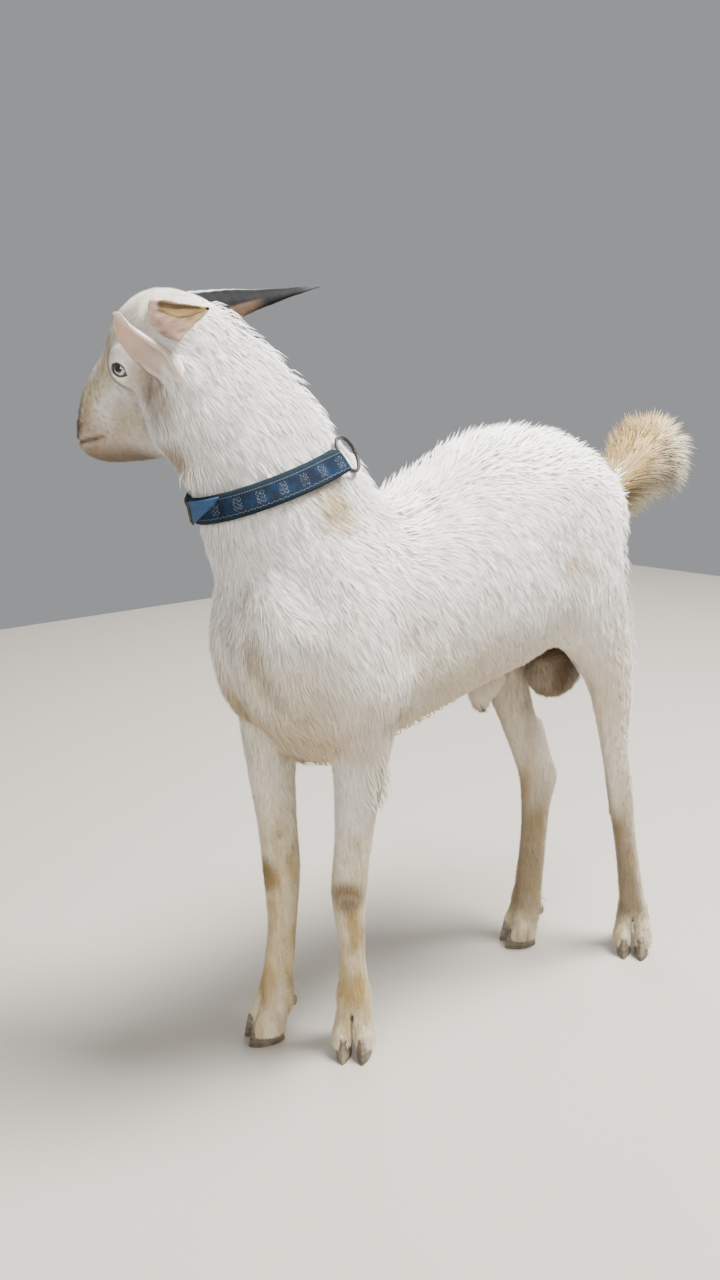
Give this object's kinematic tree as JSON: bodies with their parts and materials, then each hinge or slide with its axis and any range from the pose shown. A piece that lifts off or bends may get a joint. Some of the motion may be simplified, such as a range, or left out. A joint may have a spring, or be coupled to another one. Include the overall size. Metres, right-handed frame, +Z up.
{
  "type": "goat",
  "caption": "Standing goat at life size with its head turned aside: short white coat, sideways ears, flat twisted horns, raised bushy tail, and a webbing collar with a ring.",
  "frame": {"origin": "on the floor, under the middle of the goat's overall length and width", "axes": "+Z up, the body faces -X, and its left side is towards -Y"},
  "size_m": [0.8624, 0.2752, 0.9226],
  "materials": {
    "coat": "matte",
    "horn": "satin",
    "hoof": "satin",
    "eye": "gloss",
    "webbing": "matte",
    "wrap": "matte",
    "iron": "satin"
  },
  "bodies": {
    "root": {"head": "coat", "horn_left": "horn", "ear_left": "coat", "eye_left": "eye", "horn_right": "horn", "ear_right": "coat", "eye_right": "eye", "neck": "coat", "trunk": "coat", "tail": "coat", "fore_left_upper": "coat", "fore_left_lower": "coat", "fore_left_hoof_inner": "hoof", "fore_left_dew_claw_inner": "hoof", "fore_left_hoof_outer": "hoof", "fore_left_dew_claw_outer": "hoof", "fore_right_upper": "coat", "fore_right_lower": "coat", "fore_right_hoof_inner": "hoof", "fore_right_dew_claw_inner": "hoof", "fore_right_hoof_outer": "hoof", "fore_right_dew_claw_outer": "hoof", "hind_left_upper": "coat", "hind_left_lower": "coat", "hind_left_hoof_inner": "hoof", "hind_left_dew_claw_inner": "hoof", "hind_left_hoof_outer": "hoof", "hind_left_dew_claw_outer": "hoof", "hind_right_upper": "coat", "hind_right_lower": "coat", "hind_right_hoof_inner": "hoof", "hind_right_dew_claw_inner": "hoof", "hind_right_hoof_outer": "hoof", "hind_right_dew_claw_outer": "hoof", "scrotum": "coat", "sheath": "coat", "collar_strap": "webbing", "collar_ring": "iron", "collar_wrap": "wrap", "collar_fold": "webbing"}
  },
  "joints": []
}
